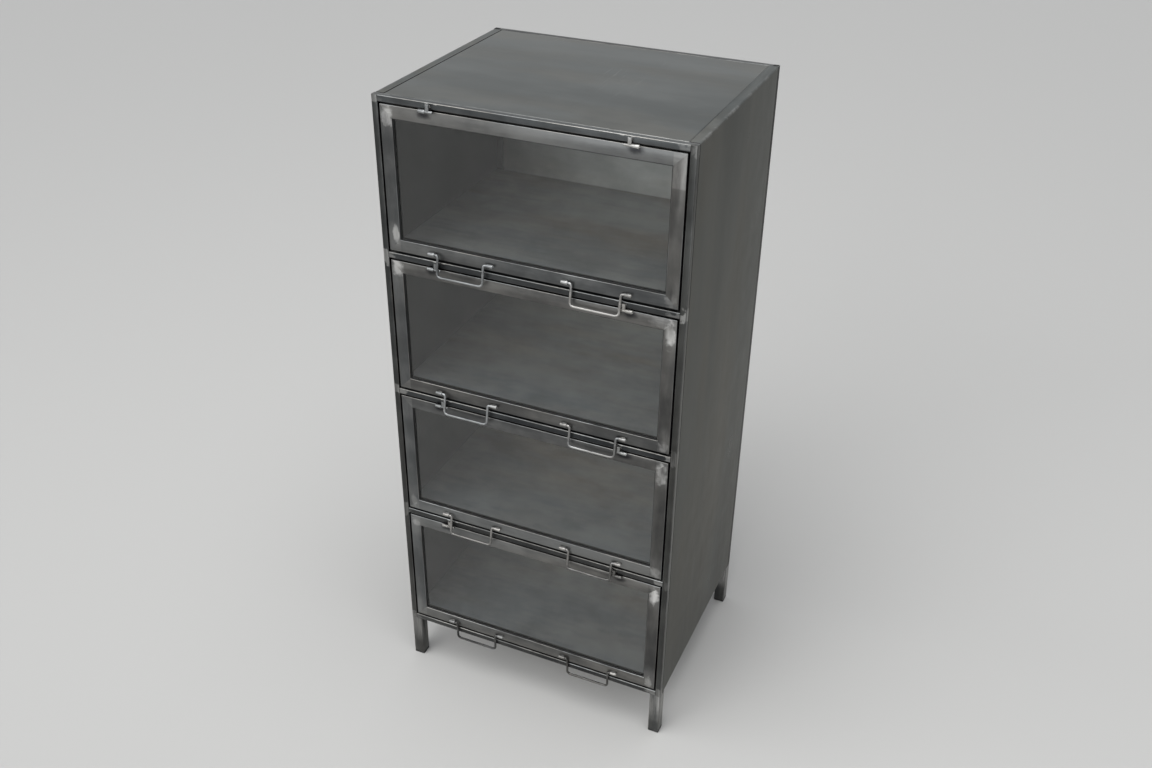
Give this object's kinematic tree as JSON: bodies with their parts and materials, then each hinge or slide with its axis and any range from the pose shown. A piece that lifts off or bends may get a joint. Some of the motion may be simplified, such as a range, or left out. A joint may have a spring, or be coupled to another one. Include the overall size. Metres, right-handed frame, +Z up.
{
  "type": "glazed cabinet",
  "caption": "Tall free-standing steel cabinet with glazed doors stacked one above another, each hinged along its top edge and lifted by loose wire handles, on short square legs.",
  "frame": {"origin": "middle of the bounding box's bottom face, on the floor", "axes": "+Z up, the doors face -Y, +X to the right seen from the front"},
  "size_m": [0.5, 0.4114, 1.1],
  "materials": {
    "frame_steel": "dark lacquered steel, ground at the welds",
    "sheet_steel": "dark lacquered sheet steel, softly brushed",
    "door_steel": "dark lacquered steel with bright ground corners",
    "bright_steel": "lacquered steel rod",
    "glass": "clear float glass",
    "seal": "black glazing bead",
    "glide_plastic": "black moulded plastic"
  },
  "bodies": {
    "cabinet": {"front_post_left": "frame_steel", "front_post_right": "frame_steel", "rear_post_left": "frame_steel", "rear_post_right": "frame_steel", "top_front_rail": "frame_steel", "front_rail_1": "frame_steel", "front_rail_2": "frame_steel", "front_rail_3": "frame_steel", "bottom_front_rail": "frame_steel", "top_rear_rail": "frame_steel", "bottom_rear_rail": "frame_steel", "front_leg_left": "frame_steel", "front_leg_right": "frame_steel", "rear_leg_left": "frame_steel", "rear_leg_right": "frame_steel", "door_stop_1": "frame_steel", "door_stop_2": "frame_steel", "door_stop_3": "frame_steel", "door_stop_4": "frame_steel", "leg_glides": "glide_plastic", "side_panel_left": "sheet_steel", "side_panel_right": "sheet_steel", "top_panel": "sheet_steel", "back_panel": "sheet_steel", "shelf_1": "sheet_steel", "shelf_2": "sheet_steel", "shelf_3": "sheet_steel", "bottom_panel": "sheet_steel", "hinge_pins": "bright_steel", "hinge_stems": "bright_steel"},
    "door_1": {"door_1_frame": "door_steel", "door_1_glass": "glass", "door_1_seal": "seal", "door_1_glass_bead": "frame_steel", "door_1_barrels": "bright_steel"},
    "door_2": {"door_2_frame": "door_steel", "door_2_glass": "glass", "door_2_seal": "seal", "door_2_glass_bead": "frame_steel", "door_2_barrels": "bright_steel"},
    "door_3": {"door_3_frame": "door_steel", "door_3_glass": "glass", "door_3_seal": "seal", "door_3_glass_bead": "frame_steel", "door_3_barrels": "bright_steel"},
    "door_4": {"door_4_frame": "door_steel", "door_4_glass": "glass", "door_4_seal": "seal", "door_4_glass_bead": "frame_steel", "door_4_barrels": "bright_steel"},
    "handle_1_left": {"handle_1_left": "bright_steel"},
    "handle_1_right": {"handle_1_right": "bright_steel"},
    "handle_2_left": {"handle_2_left": "bright_steel"},
    "handle_2_right": {"handle_2_right": "bright_steel"},
    "handle_3_left": {"handle_3_left": "bright_steel"},
    "handle_3_right": {"handle_3_right": "bright_steel"},
    "handle_4_left": {"handle_4_left": "bright_steel"},
    "handle_4_right": {"handle_4_right": "bright_steel"}
  },
  "joints": [
    {"name": "door_1_hinge", "type": "hinge", "parent": "cabinet", "child": "door_1", "pos_m": [0, -0.19754, 1.0872], "axis": [-1, 0, 0], "range_deg": [0, 180]},
    {"name": "door_2_hinge", "type": "hinge", "parent": "cabinet", "child": "door_2", "pos_m": [0, -0.19754, 0.8372], "axis": [-1, 0, 0], "range_deg": [0, 165]},
    {"name": "door_3_hinge", "type": "hinge", "parent": "cabinet", "child": "door_3", "pos_m": [0, -0.19754, 0.5872], "axis": [-1, 0, 0], "range_deg": [0, 165]},
    {"name": "door_4_hinge", "type": "hinge", "parent": "cabinet", "child": "door_4", "pos_m": [0, -0.19754, 0.3372], "axis": [-1, 0, 0], "range_deg": [0, 165]},
    {"name": "handle_1_left_pivot", "type": "hinge", "parent": "door_1", "child": "handle_1_left", "pos_m": [-0.1115, -0.19754, 0.8627], "axis": [-1, 0, 0], "range_deg": [0, 165]},
    {"name": "handle_1_right_pivot", "type": "hinge", "parent": "door_1", "child": "handle_1_right", "pos_m": [0.1115, -0.19754, 0.8627], "axis": [-1, 0, 0], "range_deg": [0, 165]},
    {"name": "handle_2_left_pivot", "type": "hinge", "parent": "door_2", "child": "handle_2_left", "pos_m": [-0.1115, -0.19754, 0.6127], "axis": [-1, 0, 0], "range_deg": [0, 165]},
    {"name": "handle_2_right_pivot", "type": "hinge", "parent": "door_2", "child": "handle_2_right", "pos_m": [0.1115, -0.19754, 0.6127], "axis": [-1, 0, 0], "range_deg": [0, 165]},
    {"name": "handle_3_left_pivot", "type": "hinge", "parent": "door_3", "child": "handle_3_left", "pos_m": [-0.1115, -0.19754, 0.3627], "axis": [-1, 0, 0], "range_deg": [0, 165]},
    {"name": "handle_3_right_pivot", "type": "hinge", "parent": "door_3", "child": "handle_3_right", "pos_m": [0.1115, -0.19754, 0.3627], "axis": [-1, 0, 0], "range_deg": [0, 165]},
    {"name": "handle_4_left_pivot", "type": "hinge", "parent": "door_4", "child": "handle_4_left", "pos_m": [-0.1115, -0.19754, 0.1127], "axis": [-1, 0, 0], "range_deg": [0, 175]},
    {"name": "handle_4_right_pivot", "type": "hinge", "parent": "door_4", "child": "handle_4_right", "pos_m": [0.1115, -0.19754, 0.1127], "axis": [-1, 0, 0], "range_deg": [0, 175]}
  ],
  "couplings": [
    {"joint": "handle_1_left_pivot", "follows": "door_2_hinge", "ratio": 1},
    {"joint": "handle_1_right_pivot", "follows": "door_2_hinge", "ratio": 1},
    {"joint": "handle_2_left_pivot", "follows": "door_3_hinge", "ratio": 1},
    {"joint": "handle_2_right_pivot", "follows": "door_3_hinge", "ratio": 1},
    {"joint": "handle_3_left_pivot", "follows": "door_4_hinge", "ratio": 1},
    {"joint": "handle_3_right_pivot", "follows": "door_4_hinge", "ratio": 1}
  ]
}
